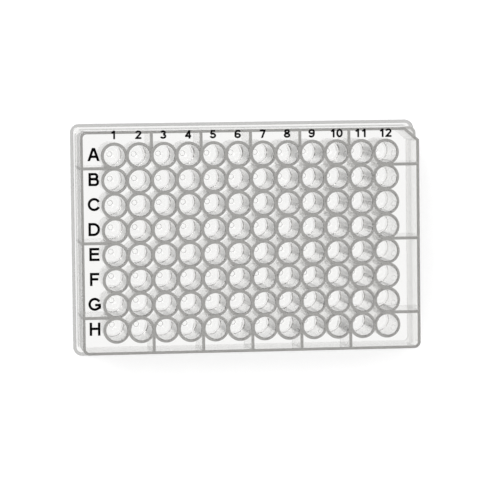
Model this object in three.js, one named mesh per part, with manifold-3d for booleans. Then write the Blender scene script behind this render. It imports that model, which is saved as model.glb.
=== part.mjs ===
// A 96-well midi plate, moulded in one piece of natural clear polypropylene.
//
// Millimetres, +Z up. The origin is the centre of the footprint, on the surface that the plate
// stands on. +X runs from column 1 to column 12, and +Y from row H to row A. The wells open upwards.
import * as THREE from "three";
import { mergeVertices } from "three/addons/utils/BufferGeometryUtils.js";
import Module from "manifold-3d";

const wasm = await Module();
wasm.setup();

// Well grid. The plate's length and width follow from it and from the two margins.
const COLUMNS = 12;
const ROWS = 8;
const PITCH = 9;
const COLUMN_MARGIN = 14.38; // from the flange's outer face to the centre of the first column
const ROW_MARGIN = 11.24; // from the flange's outer face to the centre of the first row

// Wells
const WELL_MOUTH_RADIUS = 3.8;
const WELL_FOOT_RADIUS = 3.5; // of the bore where its rounded end begins, and of that end
const WELL_WALL = 1.05;
const WELL_FLOOR = 1;
const WELL_FOOT_CLEARANCE = 1; // from the surface up to the underside of the wells
const WELL_SIDES = 12;

// Deck and skirt
const HEIGHT = 27;
const DECK_THICKNESS = 1.2;
const DECK_EDGE_BREAK = 0.3; // bevel around the top of the skirt
const SKIRT_WALL = 1;
const SKIRT_DRAFT = 0.7; // degrees that the skirt leans inwards by, going up
const SKIRT_CORNER_RADIUS = 2.4;

// Flange that the plate stands on, one step outside the skirt
const FLANGE_HEIGHT = 2.5;
const FLANGE_WALL = 1.2;
const FLANGE_CORNER_RADIUS = 3.2;
const LEDGE_THICKNESS = 1.1;
const LEDGE_AT_ENDS = 1.83; // from the flange's outer face in to the foot of the skirt, along X
const LEDGE_AT_SIDES = 2.04; // the same along Y

// Corner cut beside well A12. The skirt is cut in its upper part only, above a shelf, and the wall
// of the cut runs on down behind the rounded corner that is left.
const NOTCH_LENGTH = 5.2; // along X
const NOTCH_WIDTH = 4.5; // along Y
const NOTCH_DEPTH = 8; // from the deck down to the shelf
const SHELF_THICKNESS = 1;

// Ribs from the well block to the skirt
const RIB_THICKNESS = 1.1;
const COLUMNS_BETWEEN_RIBS = 2;
const ROWS_BETWEEN_RIBS = 3;

const CORNER_STEPS = 3; // straight pieces in each rounded corner

const halfLength = ((COLUMNS - 1) * PITCH) / 2 + COLUMN_MARGIN;
const halfWidth = ((ROWS - 1) * PITCH) / 2 + ROW_MARGIN;
const columnX = (column) => (column - (COLUMNS - 1) / 2) * PITCH;
const rowY = (row) => ((ROWS - 1) / 2 - row) * PITCH;

const deckUnderside = HEIGHT - DECK_THICKNESS;
const skirtFoot = { x: halfLength - LEDGE_AT_ENDS, y: halfWidth - LEDGE_AT_SIDES };
const skirtLean = (z) => Math.tan(THREE.MathUtils.degToRad(SKIRT_DRAFT)) * (z - FLANGE_HEIGHT);

// A closed mesh as a manifold-3d solid.
function solidOf(geometry) {
  const bare = geometry.clone();
  bare.deleteAttribute("normal");
  bare.deleteAttribute("uv");
  const merged = mergeVertices(bare, 1e-4);
  return new wasm.Manifold(
    new wasm.Mesh({
      numProp: 3,
      vertProperties: merged.getAttribute("position").array,
      triVerts: new Uint32Array(merged.index.array),
    }),
  );
}

// A manifold-3d solid as a three.js geometry.
function geometryOf(solid) {
  const mesh = solid.getMesh();
  const geometry = new THREE.BufferGeometry();
  geometry.setAttribute("position", new THREE.BufferAttribute(mesh.vertProperties, 3));
  geometry.setIndex(new THREE.BufferAttribute(mesh.triVerts, 1));
  const flat = geometry.toNonIndexed();
  flat.computeVertexNormals();
  return flat;
}

// Corner points of a rounded rectangle about the origin, counter-clockwise.
function roundedRectangle(halfX, halfY, radius) {
  const points = [];
  for (let corner = 0; corner < 4; corner++) {
    const signX = corner === 0 || corner === 3 ? 1 : -1;
    const signY = corner < 2 ? 1 : -1;
    for (let step = 0; step <= CORNER_STEPS; step++) {
      const angle = ((corner + step / CORNER_STEPS) * Math.PI) / 2;
      points.push(
        new THREE.Vector2(
          signX * (halfX - radius) + radius * Math.cos(angle),
          signY * (halfY - radius) + radius * Math.sin(angle),
        ),
      );
    }
  }
  return points;
}

// A closed solid through level outlines that all have the same number of points, from the lowest up.
function loft(sections) {
  const count = sections[0].outline.length;
  const positions = sections.flatMap(({ outline, z }) => outline.flatMap((p) => [p.x, p.y, z]));
  const index = [];
  for (let level = 0; level < sections.length - 1; level++) {
    for (let i = 0; i < count; i++) {
      const a = level * count + i;
      const b = level * count + ((i + 1) % count);
      index.push(a, b, b + count, a, b + count, a + count);
    }
  }
  const top = (sections.length - 1) * count;
  for (const [a, b, c] of THREE.ShapeUtils.triangulateShape(sections[0].outline, [])) {
    index.push(a, c, b);
  }
  for (const [a, b, c] of THREE.ShapeUtils.triangulateShape(sections.at(-1).outline, [])) {
    index.push(top + a, top + b, top + c);
  }
  const geometry = new THREE.BufferGeometry();
  geometry.setAttribute("position", new THREE.Float32BufferAttribute(positions, 3));
  geometry.setIndex(index);
  return geometry;
}

// A solid of revolution about +Z, with a flat side facing each neighbour in the grid.
function revolve(profile) {
  const points = profile.map(([radius, z]) => new THREE.Vector2(radius, z));
  return new THREE.LatheGeometry(points, WELL_SIDES, Math.PI / WELL_SIDES).rotateX(Math.PI / 2);
}

// The solid that lies outside the corner cut, above a level, with its face moved in by a distance.
function cornerCut(level, movedIn) {
  const lean = skirtLean(HEIGHT);
  const start = new THREE.Vector2(skirtFoot.x - lean - NOTCH_LENGTH, skirtFoot.y - lean);
  const end = new THREE.Vector2(skirtFoot.x - lean, skirtFoot.y - lean - NOTCH_WIDTH);
  const along = end.clone().sub(start).normalize();
  const inward = new THREE.Vector2(along.y, -along.x);
  const reach = NOTCH_LENGTH + NOTCH_WIDTH;
  start.addScaledVector(along, -reach).addScaledVector(inward, movedIn);
  end.addScaledVector(along, reach).addScaledVector(inward, movedIn);
  const shape = new THREE.Shape([start, end, new THREE.Vector2(end.x, start.y)]);
  return new THREE.ExtrudeGeometry(shape, { depth: HEIGHT, bevelEnabled: false }).translate(0, 0, level);
}

// The outside of the flange, skirt and deck as one block.
function outerBlock() {
  const skirt = (z, inset) =>
    roundedRectangle(
      skirtFoot.x - skirtLean(z) - inset,
      skirtFoot.y - skirtLean(z) - inset,
      SKIRT_CORNER_RADIUS - inset,
    );
  const flange = roundedRectangle(halfLength, halfWidth, FLANGE_CORNER_RADIUS);
  const bevelStart = HEIGHT - DECK_EDGE_BREAK;
  const block = loft([
    { outline: flange, z: 0 },
    { outline: flange, z: FLANGE_HEIGHT },
    { outline: skirt(FLANGE_HEIGHT, 0), z: FLANGE_HEIGHT },
    { outline: skirt(bevelStart, 0), z: bevelStart },
    { outline: skirt(HEIGHT, DECK_EDGE_BREAK), z: HEIGHT },
  ]);
  return solidOf(block).subtract(solidOf(cornerCut(HEIGHT - NOTCH_DEPTH, 0)));
}

// The hollow below the deck, open at the bottom.
function cavity() {
  const ledgeUnderside = FLANGE_HEIGHT - LEDGE_THICKNESS;
  const insideSkirt = (z) =>
    roundedRectangle(
      skirtFoot.x - skirtLean(z) - SKIRT_WALL,
      skirtFoot.y - skirtLean(z) - SKIRT_WALL,
      SKIRT_CORNER_RADIUS - SKIRT_WALL,
    );
  const insideFlange = roundedRectangle(
    halfLength - FLANGE_WALL,
    halfWidth - FLANGE_WALL,
    FLANGE_CORNER_RADIUS - FLANGE_WALL,
  );
  const hollow = loft([
    { outline: insideFlange, z: -1 },
    { outline: insideFlange, z: ledgeUnderside },
    { outline: insideSkirt(ledgeUnderside), z: ledgeUnderside },
    { outline: insideSkirt(deckUnderside), z: deckUnderside },
  ]);
  const shelfUnderside = HEIGHT - NOTCH_DEPTH - SHELF_THICKNESS;
  const aboveShelf = solidOf(cornerCut(shelfUnderside, SKIRT_WALL));
  const behindCorner = solidOf(cornerCut(FLANGE_HEIGHT, SKIRT_WALL));
  const pocket = solidOf(cornerCut(0, 0));
  return solidOf(hollow).subtract(aboveShelf).subtract(behindCorner.subtract(pocket));
}

// A bore, narrowing towards its foot, with a rounded end in two steps.
function bore() {
  const floor = WELL_FOOT_CLEARANCE + WELL_FLOOR;
  const centre = floor + WELL_FOOT_RADIUS;
  const halfway = WELL_FOOT_RADIUS * Math.SQRT1_2;
  const above = HEIGHT + 1;
  const widening = (WELL_MOUTH_RADIUS - WELL_FOOT_RADIUS) / (HEIGHT - centre);
  return revolve([
    [0, floor],
    [halfway, centre - halfway],
    [WELL_FOOT_RADIUS, centre],
    [WELL_MOUTH_RADIUS + widening, above],
    [0, above],
  ]);
}

// The tube around a bore, with a straight outside, joined to its neighbours where they overlap.
function tube() {
  const radius = WELL_MOUTH_RADIUS + WELL_WALL;
  const shoulder = WELL_FOOT_CLEARANCE + radius * Math.tan(Math.PI / 6);
  const top = HEIGHT - DECK_THICKNESS / 2;
  return revolve([
    [0, WELL_FOOT_CLEARANCE],
    [radius, shoulder],
    [radius, top],
    [0, top],
  ]);
}

// One copy of a geometry at every well.
function atEachWell(geometry) {
  const copies = [];
  for (let column = 0; column < COLUMNS; column++) {
    for (let row = 0; row < ROWS; row++) {
      copies.push(solidOf(geometry.clone().translate(columnX(column), rowY(row), 0)));
    }
  }
  return wasm.Manifold.union(copies);
}

// Ribs stand between two wells, from the block out to the skirt, and hang from the deck.
function ribs() {
  const top = HEIGHT - DECK_THICKNESS / 2;
  const ribHeight = top - FLANGE_HEIGHT;
  const upright = (sizeX, sizeY, x, y) =>
    solidOf(new THREE.BoxGeometry(sizeX, sizeY, ribHeight).translate(x, y, FLANGE_HEIGHT + ribHeight / 2));
  const spanFrom = (wellCentre, skirtFace) => {
    const end = skirtFace - skirtLean(HEIGHT) - SKIRT_WALL / 2;
    return { length: end - wellCentre, middle: (end + wellCentre) / 2 };
  };
  const solids = [];
  const side = spanFrom(rowY(0), skirtFoot.y);
  for (let column = COLUMNS_BETWEEN_RIBS; column < COLUMNS; column += COLUMNS_BETWEEN_RIBS) {
    const x = columnX(column - 0.5);
    solids.push(upright(RIB_THICKNESS, side.length, x, side.middle));
    solids.push(upright(RIB_THICKNESS, side.length, x, -side.middle));
  }
  const end = spanFrom(columnX(COLUMNS - 1), skirtFoot.x);
  for (let row = 1; row < ROWS; row += ROWS_BETWEEN_RIBS) {
    const y = rowY(row - 0.5);
    solids.push(upright(end.length, RIB_THICKNESS, end.middle, y));
    solids.push(upright(end.length, RIB_THICKNESS, -end.middle, y));
  }
  return wasm.Manifold.union(solids);
}

function plate() {
  const shell = outerBlock().subtract(cavity());
  const block = atEachWell(tube()).add(ribs());
  const polypropylene = new THREE.MeshStandardMaterial({
    color: 0xe9eced,
    roughness: 0.28,
    metalness: 0,
    transparent: true,
    opacity: 0.6,
  });
  const mesh = new THREE.Mesh(geometryOf(shell.add(block).subtract(atEachWell(bore()))), polypropylene);
  mesh.name = "plate";
  return mesh;
}

const wellPlate = new THREE.Group();
wellPlate.name = "well_plate";
wellPlate.add(plate());

export default wellPlate;
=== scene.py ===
"""A 96-well midi plate in clear polypropylene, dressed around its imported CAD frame.

Lengths are millimetres until a mesh is made, and metres from there on, as in the frame.
"""

import math

import bpy
from mathutils import Matrix, Vector


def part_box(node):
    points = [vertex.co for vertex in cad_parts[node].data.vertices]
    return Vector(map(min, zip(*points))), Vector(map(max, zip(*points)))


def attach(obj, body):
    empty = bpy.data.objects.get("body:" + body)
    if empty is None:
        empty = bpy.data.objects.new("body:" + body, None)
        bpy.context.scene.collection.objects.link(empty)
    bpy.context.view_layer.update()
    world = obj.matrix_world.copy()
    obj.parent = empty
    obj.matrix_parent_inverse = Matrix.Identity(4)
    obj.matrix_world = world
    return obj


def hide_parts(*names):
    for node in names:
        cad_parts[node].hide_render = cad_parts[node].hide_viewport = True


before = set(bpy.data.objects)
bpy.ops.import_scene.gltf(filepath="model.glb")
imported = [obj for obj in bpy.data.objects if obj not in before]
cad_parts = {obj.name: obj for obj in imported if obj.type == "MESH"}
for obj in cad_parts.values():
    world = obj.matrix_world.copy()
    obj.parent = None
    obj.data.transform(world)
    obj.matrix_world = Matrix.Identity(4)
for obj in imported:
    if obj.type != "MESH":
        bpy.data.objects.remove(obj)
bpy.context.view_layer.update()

MM = 0.001
MM_IN_METRE = 1000
high = Vector(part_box("plate")[1]) * MM_IN_METRE

# Well grid
COLUMNS = 12
ROWS = 8
PITCH = 9

# Well bores: a dome, a small ledge round it, and a straight taper up to the rounded mouth
MOUTH_RADIUS = 3.8
MOUTH_ROUND = 0.22
BORE_END_RADIUS = 3.35
BORE_LEDGE_RISE = 0.02
BORE_FOOT_RADIUS = 3.72
WELL_SIDES = 40
END_STEPS = 6

# Well tubes: a domed foot with a moulding dimple, and a collar that widens to the straight part.
# The dome ends and the collar starts at COLLAR_START, in degrees below the level of the dome's centre.
FOOT_RADIUS = 3.5
WALL = 1.05
FLOOR = 1
FOOT_CLEARANCE = 1
COLLAR_START = 35
COLLAR_SLOPE = math.radians(30)
GATE_RADIUS = 1.15
GATE_DEPTH = 0.45

# Deck and skirt
INK = 0.03
HEIGHT = high.z - INK
DECK_THICKNESS = 1.2
DECK_EDGE_ROUND = 0.3
SKIRT_WALL = 1
SKIRT_DRAFT = math.radians(0.7)
SKIRT_CORNER_RADIUS = 2.4

# Flange and the ledge above it
FLANGE_HEIGHT = 2.5
FLANGE_WALL = 1.2
FLANGE_CORNER_RADIUS = 3.2
FLANGE_ROUND = 0.2
FOOT_ROUND = 0.3
SKIRT_FILLET = 0.25
LEDGE_THICKNESS = 1.1
LEDGE_AT_ENDS = 1.83
LEDGE_AT_SIDES = 2.04

# Corner cut beside well A12
NOTCH_LENGTH = 5.2
NOTCH_WIDTH = 4.5
NOTCH_DEPTH = 8
SHELF_THICKNESS = 1

# Ribs
RIB_THICKNESS = 1.1
COLUMNS_BETWEEN_RIBS = 2
ROWS_BETWEEN_RIBS = 3

# Modelling: steps of the rounded corners, fillets and edges, and how far a cutting solid reaches past its cut
CORNER_STEPS = 10
FILLET_STEPS = 4
EDGE_STEPS = 3
CUT_PAST = 1
SHARP_ANGLE = math.radians(32)
BOX_FACES = ((3, 2, 1, 0), (4, 5, 6, 7), (0, 1, 5, 4), (1, 2, 6, 5), (2, 3, 7, 6), (3, 0, 4, 7))

# Print: places and sizes on the deck in millimetres, and strokes in parts of the cap height
PRINT_TURN = math.radians(-0.35)
ROW_LETTER_X = -57.2
ROW_LETTER_RISE = 0.32
ROW_LETTER_CAP = 4.75
ROW_LETTER_STROKE = 0.193
COLUMN_NUMBER_SHIFT = -0.5
COLUMN_NUMBER_Y = 38.8
COLUMN_NUMBER_CAP = 3.1
COLUMN_NUMBER_STROKE = 0.22
LETTER_GAP = 0.06
DIGIT_WIDTH = 0.72
TRIM_MARGIN = 0.02
BOW_STEPS = 20

# Plastic: one recipe in three versions, each with its tone and its smoothest and roughest spots; the darker
# tones on the rim and in the crevice are painted shade
FINISHES_AND_PAINTED_SHADES = (
    ("clear_polypropylene", 1, 0.02, 0.09),
    # Painted shade: the rim's plastic is darkened to a tone of 0.4; its greater roughness is real.
    ("rough_rim_painted_shade", 0.4, 0.15, 0.35),
    # Painted shade: the crevice along the foot of the skirt is darkened to a tone of 0.6.
    ("crevice_painted_shade", 0.6, 0.02, 0.09),
)
# The rim's faces take the rougher plastic with painted shade.
RIM_ROUGHNESS_AND_PAINTED_SHADE = 1
# The crevice's faces take the plastic with painted shade.
CREVICE_PAINTED_SHADE = 2
PLASTIC_TINT = (1, 0.998, 0.99)
REFRACTIVE_INDEX = 1.49
HAZE_SCALE = 420
HAZE_DETAIL = 4
ABSORPTION_COLOUR = (0.036, 0.025, 0.0)
ABSORPTION_DENSITY = 44

# Faces that count as rim or crevice: how steeply they look down or up, and how near the skirt they are
FACING = 0.3
CREVICE_MARGIN = 0.1

# Ink
INK_DARKEST = (0.0003, 0.0003, 0.0004)
INK_PALEST = (0.002, 0.002, 0.0022)
INK_SPECULAR = 0.02
INK_SMOOTHEST = 0.5
INK_ROUGHEST = 0.75
INK_GRAIN_SCALE = 2500
INK_GRAIN_DETAIL = 2

# Floor
FLOOR_REACH = 3000
FLOOR_LEVEL = -0.02
FLOOR_TONE = 0.8
FLOOR_GLOW = 0.5

# Light: the world grows brighter from its horizon up to the height SKY_FULL of a unit direction
LIGHT_BOUNCES = 64
SKY_FULL = 0.35
SKY_DIMMEST = 0.05
SKY_BRIGHTEST = 0.8
KEY_PLACE = Vector((-0.5, 0.5, 0.9))
KEY_SIZE = 0.6
KEY_WATTS = 4

# Camera, fitted to the 9 mm grid of the well mouths
CAMERA_PLACE = Vector((-0.12743, 0.06248, 1.08051))
CAMERA_AIM = Vector((-0.000770, -0.003275, 0.027))
CAMERA_ROLL = math.radians(0.6686)
CAMERA_LENS = 211.22
CAMERA_SENSOR = 36
CAMERA_CLIP_END = 20

half_length = high.x
half_width = high.y
deck_underside = HEIGHT - DECK_THICKNESS
skirt_x = half_length - LEDGE_AT_ENDS
skirt_y = half_width - LEDGE_AT_SIDES


def lean(z):
    """How far the skirt's draft has drawn it in at a height."""
    return math.tan(SKIRT_DRAFT) * (z - FLANGE_HEIGHT)


def column_x(column):
    return (column - (COLUMNS - 1) / 2) * PITCH


def row_y(row):
    return ((ROWS - 1) / 2 - row) * PITCH


# Shapes
def mesh_object(name, vertices, faces):
    mesh = bpy.data.meshes.new(name)
    mesh.from_pydata([[value * MM for value in vertex] for vertex in vertices], [], faces)
    mesh.validate()
    piece = bpy.data.objects.new(name, mesh)
    bpy.context.scene.collection.objects.link(piece)
    return piece


def arc(centre, radius, start, end, steps):
    """Points on an arc in a profile's plane, angles in degrees."""
    points = []
    for step in range(steps + 1):
        angle = math.radians(start + (end - start) * step / steps)
        points.append((centre[0] + radius * math.cos(angle), centre[1] + radius * math.sin(angle)))
    return points


def rounded_rectangle(half_x, half_y, radius):
    """Points of a rounded rectangle about the origin, counter-clockwise."""
    points = []
    for corner in range(4):
        sign_x = 1 if corner in (0, 3) else -1
        sign_y = 1 if corner < 2 else -1
        for step in range(CORNER_STEPS + 1):
            angle = (corner + step / CORNER_STEPS) * math.pi / 2
            points.append((
                sign_x * (half_x - radius) + radius * math.cos(angle),
                sign_y * (half_y - radius) + radius * math.sin(angle),
            ))
    return points


def loft(name, sections):
    """A closed solid through level outlines of equal count, given as (outline, z) from the lowest up."""
    count = len(sections[0][0])
    vertices = [(x, y, z) for outline, z in sections for x, y in outline]
    faces = [tuple(reversed(range(count)))]
    for level in range(len(sections) - 1):
        for i in range(count):
            a = level * count + i
            b = level * count + (i + 1) % count
            faces.append((a, b, b + count, a + count))
    top = (len(sections) - 1) * count
    faces.append(tuple(range(top, top + count)))
    return mesh_object(name, vertices, faces)


def revolved(profile, centres):
    """Vertices and faces of one solid of revolution at each centre.

    The profile is (radius, z) pairs from axis to axis, upwards.
    """
    vertices, faces = [], []
    for cx, cy in centres:
        rings = []
        for radius, z in profile:
            if radius == 0:
                rings.append([len(vertices)] * WELL_SIDES)
                vertices.append((cx, cy, z))
            else:
                rings.append(list(range(len(vertices), len(vertices) + WELL_SIDES)))
                for i in range(WELL_SIDES):
                    angle = 2 * math.pi * i / WELL_SIDES
                    vertices.append((cx + radius * math.cos(angle), cy + radius * math.sin(angle), z))
        for lower, upper in zip(rings, rings[1:]):
            for i in range(WELL_SIDES):
                j = (i + 1) % WELL_SIDES
                corners = [lower[i], lower[j], upper[j], upper[i]]
                faces.append(tuple(dict.fromkeys(corners)))
    return vertices, faces


def boxes(name, spans):
    """Closed boxes from (low corner, high corner) pairs."""
    vertices, faces = [], []
    for (x0, y0, z0), (x1, y1, z1) in spans:
        n = len(vertices)
        vertices += [(x0, y0, z0), (x1, y0, z0), (x1, y1, z0), (x0, y1, z0)]
        vertices += [(x0, y0, z1), (x1, y0, z1), (x1, y1, z1), (x0, y1, z1)]
        for a, b, c, d in BOX_FACES:
            faces.append((n + a, n + b, n + c, n + d))
    return mesh_object(name, vertices, faces)


def prism(name, profile, middle, along, outward, reach):
    """A closed bar of a profile of (outward, z) pairs, reaching both ways from the middle."""
    count = len(profile)
    vertices = []
    for side in (-reach, reach):
        for out, z in profile:
            point = middle + along * side + outward * out
            vertices.append((point.x, point.y, z))
    faces = [tuple(reversed(range(count))), tuple(range(count, 2 * count))]
    for i in range(count):
        j = (i + 1) % count
        faces.append((i, j, j + count, i + count))
    return mesh_object(name, vertices, faces)


def combine(piece, other, operation):
    """Boolean of two closed solids, kept in the first; the other is used up."""
    modifier = piece.modifiers.new(operation, "BOOLEAN")
    modifier.operation = operation
    modifier.solver = "MANIFOLD"
    modifier.object = other
    depsgraph = bpy.context.evaluated_depsgraph_get()
    mesh = bpy.data.meshes.new_from_object(piece.evaluated_get(depsgraph))
    piece.modifiers.clear()
    piece.data = mesh
    bpy.data.objects.remove(other)
    if not mesh.polygons:
        raise RuntimeError(f"{operation} left {piece.name} empty")


def drop_materials(piece):
    """Take off the empty material slots that booleans leave."""
    mesh = piece.data
    mesh.materials.clear()
    mesh.polygons.foreach_set("material_index", [0] * len(mesh.polygons))


def smooth(piece):
    """Smooth shading up to the sharp edges, led by the larger faces."""
    mesh = piece.data
    mesh.polygons.foreach_set("use_smooth", [True] * len(mesh.polygons))
    mesh.set_sharp_from_angle(angle=SHARP_ANGLE)
    weighted = piece.modifiers.new("weighted", "WEIGHTED_NORMAL")
    weighted.keep_sharp = True


# Plate
def corner_cut(name, level, moved_in, edge_round):
    """The solid outside the corner cut, above a level.

    Its face can be moved into the plate, and can leave the deck's edge rounded.
    """
    reach = NOTCH_LENGTH + NOTCH_WIDTH
    x, y = skirt_x - lean(HEIGHT), skirt_y - lean(HEIGHT)
    start, end = Vector((x - NOTCH_LENGTH, y)), Vector((x, y - NOTCH_WIDTH))
    along = (end - start).normalized()
    outward = Vector((-along.y, along.x))
    middle = (start + end) / 2 - outward * moved_in
    top = HEIGHT + CUT_PAST
    profile = [(0, level), (reach, level), (reach, top)]
    if edge_round:
        rounding = arc((-edge_round, HEIGHT - edge_round), edge_round, 90, 0, FILLET_STEPS)
        profile += [(-edge_round, top)] + rounding
    else:
        profile += [(0, top)]
    return prism(name, profile, middle, along, outward, reach)


def outer_block():
    """The plate's outside as one full block: flange, ledge, leaning skirt and corner cut."""
    def flange(z, inset):
        outline = rounded_rectangle(half_length - inset, half_width - inset, FLANGE_CORNER_RADIUS - inset)
        return outline, z

    def skirt(z, inset):
        drawn_in = lean(z) + inset
        return rounded_rectangle(skirt_x - drawn_in, skirt_y - drawn_in, SKIRT_CORNER_RADIUS - inset), z

    sections = []
    for out, z in arc((-FOOT_ROUND, FOOT_ROUND), FOOT_ROUND, -90, 0, EDGE_STEPS):
        sections.append(flange(z, -out))
    for out, z in arc((-FLANGE_ROUND, FLANGE_HEIGHT - FLANGE_ROUND), FLANGE_ROUND, 0, 90, EDGE_STEPS):
        sections.append(flange(z, -out))
    for out, z in arc((SKIRT_FILLET, FLANGE_HEIGHT + SKIRT_FILLET), SKIRT_FILLET, 270, 180, FILLET_STEPS):
        sections.append(skirt(z, -out))
    for out, z in arc((-DECK_EDGE_ROUND, HEIGHT - DECK_EDGE_ROUND), DECK_EDGE_ROUND, 0, 90, FILLET_STEPS):
        sections.append(skirt(z, -out))
    block = loft("moulded_plate", sections)
    combine(block, corner_cut("cut", HEIGHT - NOTCH_DEPTH, 0, DECK_EDGE_ROUND), "DIFFERENCE")
    return block


def cavity():
    """The hollow under the deck.

    It leaves the corner cut its wall and its shelf, and the wall runs on down behind the rounded corner.
    """
    def inside_skirt(z):
        drawn_in = lean(z) + SKIRT_WALL
        return rounded_rectangle(skirt_x - drawn_in, skirt_y - drawn_in, SKIRT_CORNER_RADIUS - SKIRT_WALL), z

    def inside_flange(z, out=0.0):
        wall = FLANGE_WALL - out
        return rounded_rectangle(half_length - wall, half_width - wall, FLANGE_CORNER_RADIUS - wall), z

    ledge_underside = FLANGE_HEIGHT - LEDGE_THICKNESS
    sections = [inside_flange(-CUT_PAST, FOOT_ROUND)]
    for back, z in arc((-FOOT_ROUND, FOOT_ROUND), FOOT_ROUND, -90, 0, EDGE_STEPS):
        sections.append(inside_flange(z, -back))
    sections.append(inside_flange(ledge_underside))
    sections.append(inside_skirt(ledge_underside))
    sections.append(inside_skirt(deck_underside))
    hollow = loft("hollow", sections)
    shelf_underside = HEIGHT - NOTCH_DEPTH - SHELF_THICKNESS
    behind_corner = corner_cut("behind_corner", FLANGE_HEIGHT, SKIRT_WALL, 0)
    combine(behind_corner, corner_cut("pocket", 0, 0, 0), "DIFFERENCE")
    combine(hollow, corner_cut("inner_cut", shelf_underside, SKIRT_WALL, 0), "DIFFERENCE")
    combine(hollow, behind_corner, "DIFFERENCE")
    return hollow


def bores():
    """The space inside the 96 wells, open at the top."""
    centre = FOOT_CLEARANCE + FLOOR + FOOT_RADIUS
    profile = arc((0, centre), BORE_END_RADIUS, -90, 0, END_STEPS)
    profile[0] = (0, profile[0][1])
    profile += [(BORE_FOOT_RADIUS, centre + BORE_LEDGE_RISE), (MOUTH_RADIUS, HEIGHT - MOUTH_ROUND)]
    rounding = arc((MOUTH_RADIUS + MOUTH_ROUND, HEIGHT - MOUTH_ROUND), MOUTH_ROUND, 180, 90, EDGE_STEPS)
    profile += rounding[1:]
    last = profile[-1][0]
    profile += [(last, HEIGHT + CUT_PAST), (0, HEIGHT + CUT_PAST)]
    centres = [(column_x(c), row_y(r)) for c in range(COLUMNS) for r in range(ROWS)]
    return mesh_object("bores", *revolved(profile, centres))


def tubes(name, parity):
    """Every other tube, as on a chessboard, so that none of them touch."""
    radius = MOUTH_RADIUS + WALL
    shell = FOOT_RADIUS + FLOOR
    centre = FOOT_CLEARANCE + shell
    top = HEIGHT - DECK_THICKNESS / 2
    gate_angle = math.degrees(math.acos(GATE_RADIUS / shell))
    profile = [(0, FOOT_CLEARANCE + GATE_DEPTH)]
    profile += arc((GATE_RADIUS - GATE_DEPTH, FOOT_CLEARANCE), GATE_DEPTH, 90, 0, EDGE_STEPS)
    profile += arc((0, centre), shell, -gate_angle, -COLLAR_START, END_STEPS - 1)
    collar_radius, collar_z = profile[-1]
    shoulder = collar_z + (radius - collar_radius) * math.tan(COLLAR_SLOPE)
    profile += [(radius, shoulder), (radius, top), (0, top)]
    centres = [
        (column_x(c), row_y(r)) for c in range(COLUMNS) for r in range(ROWS) if (c + r) % 2 == parity
    ]
    return mesh_object(name, *revolved(profile, centres))


def ribs():
    """Ribs from the block of wells to the skirt, midway between two columns or two rows."""
    top = HEIGHT - DECK_THICKNESS / 2
    half = RIB_THICKNESS / 2
    spans = []
    end_y = skirt_y - lean(HEIGHT) - SKIRT_WALL / 2
    for column in range(COLUMNS_BETWEEN_RIBS, COLUMNS, COLUMNS_BETWEEN_RIBS):
        x = column_x(column - 0.5)
        spans.append(((x - half, row_y(0), FLANGE_HEIGHT), (x + half, end_y, top)))
        spans.append(((x - half, -end_y, FLANGE_HEIGHT), (x + half, -row_y(0), top)))
    end_x = skirt_x - lean(HEIGHT) - SKIRT_WALL / 2
    for row in range(1, ROWS, ROWS_BETWEEN_RIBS):
        y = row_y(row - 0.5)
        spans.append(((-end_x, y - half, FLANGE_HEIGHT), (column_x(0), y + half, top)))
        spans.append(((-column_x(0), y - half, FLANGE_HEIGHT), (end_x, y + half, top)))
    return boxes("ribs", spans)


def build_plate():
    """The whole moulding as one closed mesh."""
    plate = outer_block()
    combine(plate, cavity(), "DIFFERENCE")
    combine(plate, tubes("tubes_a", 0), "UNION")
    combine(plate, tubes("tubes_b", 1), "UNION")
    combine(plate, ribs(), "UNION")
    combine(plate, bores(), "DIFFERENCE")
    drop_materials(plate)
    smooth(plate)
    return plate


# Print. A character is a few strokes in a box one cap height tall, in parts of the cap height.
def bow(x, y, radius_x, radius_y, start, end):
    """Points along an elliptical arc, angles in degrees."""
    return [
        (x + radius_x * math.cos(math.radians(angle)), y + radius_y * math.sin(math.radians(angle)))
        for angle in (start + (end - start) * step / BOW_STEPS for step in range(BOW_STEPS + 1))
    ]


def ring(x, y, radius_x, radius_y):
    """Points along a whole ellipse, for a closed stroke."""
    return bow(x, y, radius_x, radius_y, 0, 360)[:-1]


def shape(width, lines=(), loops=()):
    """A character's width, open strokes and closed strokes."""
    return width, lines, loops


def letters(thickness):
    """A to H in a plain sans-serif."""
    left = low_line = thickness / 2
    top_line = 1 - thickness / 2
    tall = 0.5 - thickness / 2
    b_top = [(left, 0.53)] + bow(0.46, 0.72, 0.19, 0.195, -90, 90) + [(left, top_line)]
    b_foot = [(left, low_line)] + bow(0.48, 0.31, 0.23, 0.225, -90, 90) + [(left, 0.53)]
    d_bowl = [(left, low_line)] + bow(0.40, 0.5, 0.385, tall, -90, 90) + [(left, top_line)]
    g_bowl = bow(0.48, 0.5, 0.395, tall, 30, 315)
    return {
        "A": shape(0.88, [
            [(0.04, -0.1), (0.44, 1.06)],
            [(0.84, -0.1), (0.44, 1.06)],
            [(0.2, 0.33), (0.68, 0.33)],
        ]),
        "B": shape(0.80, loops=[b_top, b_foot]),
        "C": shape(0.93, [bow(0.48, 0.5, 0.395, tall, 28, 332)]),
        "D": shape(0.87, loops=[d_bowl]),
        "E": shape(0.77, [
            [(0.76, top_line), (left, top_line), (left, low_line), (0.78, low_line)],
            [(left, 0.53), (0.72, 0.53)],
        ]),
        "F": shape(0.71, [
            [(0.71, top_line), (left, top_line), (left, 0)],
            [(left, 0.51), (0.64, 0.51)],
        ]),
        "G": shape(0.96, [g_bowl + [(0.85, 0.24), (0.85, 0.44), (0.5, 0.44)]]),
        "H": shape(0.82, [
            [(left, 0), (left, 1)],
            [(0.82 - left, 0), (0.82 - left, 1)],
            [(left, 0.53), (0.7, 0.53)],
        ]),
    }


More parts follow.
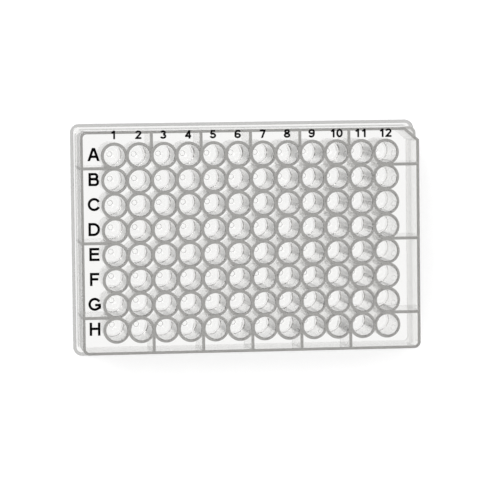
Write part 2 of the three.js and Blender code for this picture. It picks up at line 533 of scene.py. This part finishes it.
def digits(thickness):
    """0 to 9, all of one width; the 9 is the 6 turned half round."""
    low_line = thickness / 2
    top_line = 1 - thickness / 2
    tall = 0.5 - thickness / 2
    six_back = bow(0.40, 0.5, 0.31, tall, 38, 195)
    six_bowl = ring(0.36, 0.31, 0.275, 0.31 - low_line)
    nine_back = [(DIGIT_WIDTH - x, 1 - y) for x, y in six_back]
    nine_bowl = [(DIGIT_WIDTH - x, 1 - y) for x, y in six_bowl]
    return {
        "0": shape(DIGIT_WIDTH, loops=[ring(0.36, 0.5, 0.275, tall)]),
        "1": shape(DIGIT_WIDTH, [
            [(0.45, 0), (0.45, 1.1)],
            [(0.14, 0.7), (0.3, 0.78), (0.45, 1.02)],
        ]),
        "2": shape(DIGIT_WIDTH, [
            bow(0.35, 0.7, 0.26, 0.3 - low_line, 172, -25) + [(0.12, low_line), (0.72, low_line)],
        ]),
        "3": shape(DIGIT_WIDTH, [
            bow(0.34, 0.735, 0.23, 0.265 - low_line, 165, -90),
            bow(0.34, 0.3, 0.275, 0.3 - low_line, 90, -165),
        ]),
        "4": shape(DIGIT_WIDTH, [
            [(0.52, 0), (0.52, 1.1)],
            [(0.0, 0.3), (0.72, 0.3)],
            [(0.1, 0.27), (0.52, 0.97)],
        ]),
        "5": shape(DIGIT_WIDTH, [
            [(0.64, top_line), (0.2, top_line), (0.14, 0.5)],
            bow(0.35, 0.33, 0.28, 0.33 - low_line, 142, -165),
        ]),
        "6": shape(DIGIT_WIDTH, [six_back], [six_bowl]),
        "7": shape(DIGIT_WIDTH, [[(0.05, top_line), (0.64, top_line), (0.26, -0.1)]]),
        "8": shape(DIGIT_WIDTH, loops=[
            ring(0.36, 0.745, 0.225, 0.17),
            ring(0.36, 0.3, 0.275, 0.3 - low_line),
        ]),
        "9": shape(DIGIT_WIDTH, [nine_back], [nine_bowl]),
    }


def stroke(line, closed, thickness, place):
    """A flat bar of even width along a line of points, as one closed solid."""
    points = [Vector(point) for point in line]
    count = len(points)
    sides = []
    for i, point in enumerate(points):
        before = point - points[i - 1] if closed or i > 0 else points[1] - point
        after = points[(i + 1) % count] - point if closed or i < count - 1 else before
        normals = [Vector((-step.y, step.x)).normalized() for step in (before, after)]
        mitre = (normals[0] + normals[1]) * thickness / 2 / (1 + normals[0].dot(normals[1]))
        sides.append((point + mitre, point - mitre))
    vertices = [
        (*place(x, y), z) for left, right in sides for x, y in (left, right) for z in (high.z - INK, high.z)
    ]
    faces = []
    for i in range(count if closed else count - 1):
        a, b = 4 * i, 4 * ((i + 1) % count)
        faces += [(a, a + 1, b + 1, b), (a + 2, b + 2, b + 3, a + 3)]
        faces += [(a + 1, a + 3, b + 3, b + 1), (a, b, b + 2, a + 2)]
    if not closed:
        last = 4 * (count - 1)
        faces += [(0, 2, 3, 1), (last, last + 1, last + 3, last + 2)]
    return mesh_object("stroke", vertices, faces)


def glyph(character, start, y, cap_height, thickness):
    """One character as a closed film of ink, from its left edge and middle height; its ends are trimmed."""
    width, lines, loops = character

    def place(across, up):
        return start + across * cap_height, y + (up - 0.5) * cap_height

    bars = [stroke(line, False, thickness, place) for line in lines]
    bars += [stroke(loop, True, thickness, place) for loop in loops]
    film = bars[0]
    for bar in bars[1:]:
        combine(film, bar, "UNION")
    near, far = place(-TRIM_MARGIN, 0), place(width + TRIM_MARGIN, 1)
    trim = boxes("trim", [((*near, high.z - CUT_PAST), (*far, high.z + CUT_PAST))])
    combine(film, trim, "INTERSECT")
    return film


def printed(name, text, x, y, cap_height, thickness):
    """One label, centred on a point of the deck. The whole print sits a little turned on the deck."""
    shapes = {**letters(thickness), **digits(thickness)}
    span = sum(shapes[letter][0] for letter in text) + LETTER_GAP * (len(text) - 1)
    start = x - span / 2 * cap_height
    films = []
    for letter in text:
        films.append(glyph(shapes[letter], start, y, cap_height, thickness))
        start += (shapes[letter][0] + LETTER_GAP) * cap_height
    label = films[0]
    for film in films[1:]:
        combine(label, film, "UNION")
    drop_materials(label)
    label.name = name
    label.data.transform(Matrix.Rotation(PRINT_TURN, 4, "Z"))
    return label


# Materials
def new_material(name):
    material = bpy.data.materials.new(name)
    material.use_nodes = True
    nodes = material.node_tree.nodes
    return material, nodes, material.node_tree.links, nodes["Principled BSDF"]


def noise(nodes, links, scale, detail):
    """The output of a fine noise that is fixed to the piece."""
    coordinates = nodes.new("ShaderNodeTexCoord")
    texture = nodes.new("ShaderNodeTexNoise")
    texture.inputs["Scale"].default_value = scale
    texture.inputs["Detail"].default_value = detail
    links.new(coordinates.outputs["Object"], texture.inputs["Vector"])
    return texture.outputs["Fac"]


def vary_roughness(nodes, links, shader, grain, smoothest, roughest):
    """Let a noise set how rough the surface is from spot to spot."""
    spread = nodes.new("ShaderNodeMapRange")
    spread.inputs["To Min"].default_value = smoothest
    spread.inputs["To Max"].default_value = roughest
    links.new(grain, spread.inputs["Value"])
    links.new(spread.outputs["Result"], shader.inputs["Roughness"])


def clear_plastic(name, tone, smoothest, roughest):
    """Slightly warm and hazy, and greyer along a wall than through it. A tone below 1 darkens it as painted
    shade.
    """
    material, nodes, links, shader = new_material(name)
    shader.inputs["Base Color"].default_value = (*(tone * share for share in PLASTIC_TINT), 1)
    shader.inputs["Transmission Weight"].default_value = 1
    shader.inputs["IOR"].default_value = REFRACTIVE_INDEX
    haze = noise(nodes, links, HAZE_SCALE, HAZE_DETAIL)
    vary_roughness(nodes, links, shader, haze, smoothest, roughest)
    absorption = nodes.new("ShaderNodeVolumeAbsorption")
    absorption.inputs["Color"].default_value = (*ABSORPTION_COLOUR, 1)
    absorption.inputs["Density"].default_value = ABSORPTION_DENSITY
    links.new(absorption.outputs["Volume"], nodes["Material Output"].inputs["Volume"])
    return material


def ink():
    """Matt black, a little uneven."""
    material, nodes, links, shader = new_material("black_print")
    shader.inputs["Specular IOR Level"].default_value = INK_SPECULAR
    grain = noise(nodes, links, INK_GRAIN_SCALE, INK_GRAIN_DETAIL)
    colour = nodes.new("ShaderNodeValToRGB")
    colour.color_ramp.elements[0].color = (*INK_DARKEST, 1)
    colour.color_ramp.elements[1].color = (*INK_PALEST, 1)
    links.new(grain, colour.inputs["Fac"])
    links.new(colour.outputs["Color"], shader.inputs["Base Color"])
    vary_roughness(nodes, links, shader, grain, INK_SMOOTHEST, INK_ROUGHEST)
    return material


def floor_material():
    """Pale, glowing a little, and plain white where it is seen through or in the plastic."""
    material, nodes, links, shader = new_material("pale_floor")
    nodes.remove(shader)
    diffuse = nodes.new("ShaderNodeBsdfDiffuse")
    diffuse.inputs["Color"].default_value = (FLOOR_TONE, FLOOR_TONE, FLOOR_TONE, 1)
    glow = nodes.new("ShaderNodeEmission")
    glow.inputs["Strength"].default_value = FLOOR_GLOW
    lit = nodes.new("ShaderNodeAddShader")
    links.new(diffuse.outputs["BSDF"], lit.inputs[0])
    links.new(glow.outputs["Emission"], lit.inputs[1])
    white = nodes.new("ShaderNodeEmission")
    white.inputs["Strength"].default_value = 1
    path = nodes.new("ShaderNodeLightPath")
    through_plastic = nodes.new("ShaderNodeMath")
    through_plastic.operation = "MAXIMUM"
    links.new(path.outputs["Is Glossy Ray"], through_plastic.inputs[0])
    links.new(path.outputs["Is Transmission Ray"], through_plastic.inputs[1])
    mix = nodes.new("ShaderNodeMixShader")
    links.new(through_plastic.outputs["Value"], mix.inputs["Fac"])
    links.new(lit.outputs["Shader"], mix.inputs[1])
    links.new(white.outputs["Emission"], mix.inputs[2])
    links.new(mix.outputs["Shader"], nodes["Material Output"].inputs["Surface"])
    return material


def on_rim(face):
    """The rim that the plate stands on, which gets a rougher surface and painted shade."""
    return face.center.z < FOOT_ROUND * MM and face.normal.z < -FACING


def in_crevice(face):
    """The crevice along the foot of the skirt, outside, which gets painted shade."""
    x, y, z = face.center / MM
    outside = abs(x) > skirt_x - CREVICE_MARGIN or abs(y) > skirt_y - CREVICE_MARGIN
    return outside and FLANGE_HEIGHT < z < FLANGE_HEIGHT + SKIRT_FILLET and face.normal.z > FACING


def finish_plate_and_paint_shade(piece):
    """Clear plastic all over, with painted shade on the rim and in the crevice, and a rougher rim."""
    for finish_or_painted_shade in FINISHES_AND_PAINTED_SHADES:
        piece.data.materials.append(clear_plastic(*finish_or_painted_shade))
    for face in piece.data.polygons:
        if on_rim(face):
            face.material_index = RIM_ROUGHNESS_AND_PAINTED_SHADE
        elif in_crevice(face):
            face.material_index = CREVICE_PAINTED_SHADE


# Studio
def build_floor():
    """A wide level floor just below the plate."""
    reach, level = FLOOR_REACH, FLOOR_LEVEL
    corners = [(-reach, -reach, level), (reach, -reach, level), (reach, reach, level), (-reach, reach, level)]
    piece = mesh_object("floor", corners, [(0, 1, 2, 3)])
    piece.data.materials.append(floor_material())
    return piece


def set_rendering():
    """Plain colours, and enough bounces for light to leave the stacked walls of the wells."""
    scene = bpy.context.scene
    scene.view_settings.view_transform = "Standard"
    scene.cycles.max_bounces = LIGHT_BOUNCES
    scene.cycles.transmission_bounces = LIGHT_BOUNCES
    scene.cycles.glossy_bounces = LIGHT_BOUNCES


def add_world():
    """White light from all round, dim at the horizon and brighter above it."""
    world = bpy.data.worlds.new("studio")
    bpy.context.scene.world = world
    world.use_nodes = True
    nodes, links = world.node_tree.nodes, world.node_tree.links
    backdrop = nodes["Background"]
    backdrop.inputs["Color"].default_value = (1, 1, 1, 1)
    direction = nodes.new("ShaderNodeTexCoord")
    axes = nodes.new("ShaderNodeSeparateXYZ")
    links.new(direction.outputs["Generated"], axes.inputs["Vector"])
    rise = nodes.new("ShaderNodeMapRange")
    rise.inputs["From Min"].default_value = 0
    rise.inputs["From Max"].default_value = SKY_FULL
    rise.inputs["To Min"].default_value = SKY_DIMMEST
    rise.inputs["To Max"].default_value = SKY_BRIGHTEST
    links.new(axes.outputs["Z"], rise.inputs["Value"])
    links.new(rise.outputs["Result"], backdrop.inputs["Strength"])


def add_key_lamp():
    """A soft square lamp, turned to the plate."""
    light = bpy.data.lights.new("key", "AREA")
    light.shape = "SQUARE"
    light.size = KEY_SIZE
    light.energy = KEY_WATTS
    lamp = bpy.data.objects.new("key", light)
    bpy.context.scene.collection.objects.link(lamp)
    lamp.location = KEY_PLACE
    lamp.rotation_euler = (-KEY_PLACE).to_track_quat("-Z", "Y").to_euler()


def add_camera():
    """A pinhole that looks from its place to its aim, turned by its roll about that line."""
    camera = bpy.data.objects.new("camera", bpy.data.cameras.new("camera"))
    bpy.context.scene.collection.objects.link(camera)
    camera.data.lens = CAMERA_LENS
    camera.data.sensor_width = CAMERA_SENSOR
    camera.data.clip_end = CAMERA_CLIP_END
    forward = (CAMERA_AIM - CAMERA_PLACE).normalized()
    up = (Vector((0, 1, 0)) - forward * forward.y).normalized()
    right = forward.cross(up)
    tilted_up = up * math.cos(CAMERA_ROLL) + right * math.sin(CAMERA_ROLL)
    tilted_right = forward.cross(tilted_up)
    turned = Matrix((tilted_right, tilted_up, -forward)).transposed().to_4x4()
    camera.matrix_world = Matrix.Translation(CAMERA_PLACE) @ turned
    bpy.context.scene.camera = camera


plate = build_plate()
finish_plate_and_paint_shade(plate)
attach(plate, "root")
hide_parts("plate")

black = ink()
for row, letter in enumerate("ABCDEFGH"):
    y = row_y(row) + ROW_LETTER_RISE
    piece = printed(f"row_{letter}", letter, ROW_LETTER_X, y, ROW_LETTER_CAP, ROW_LETTER_STROKE)
    piece.data.materials.append(black)
    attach(piece, "root")
for column in range(COLUMNS):
    number = str(column + 1)
    x = column_x(column) + COLUMN_NUMBER_SHIFT
    piece = printed(f"column_{number}", number, x, COLUMN_NUMBER_Y, COLUMN_NUMBER_CAP, COLUMN_NUMBER_STROKE)
    piece.data.materials.append(black)
    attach(piece, "root")

floor = build_floor()
set_rendering()
add_world()
add_key_lamp()
add_camera()
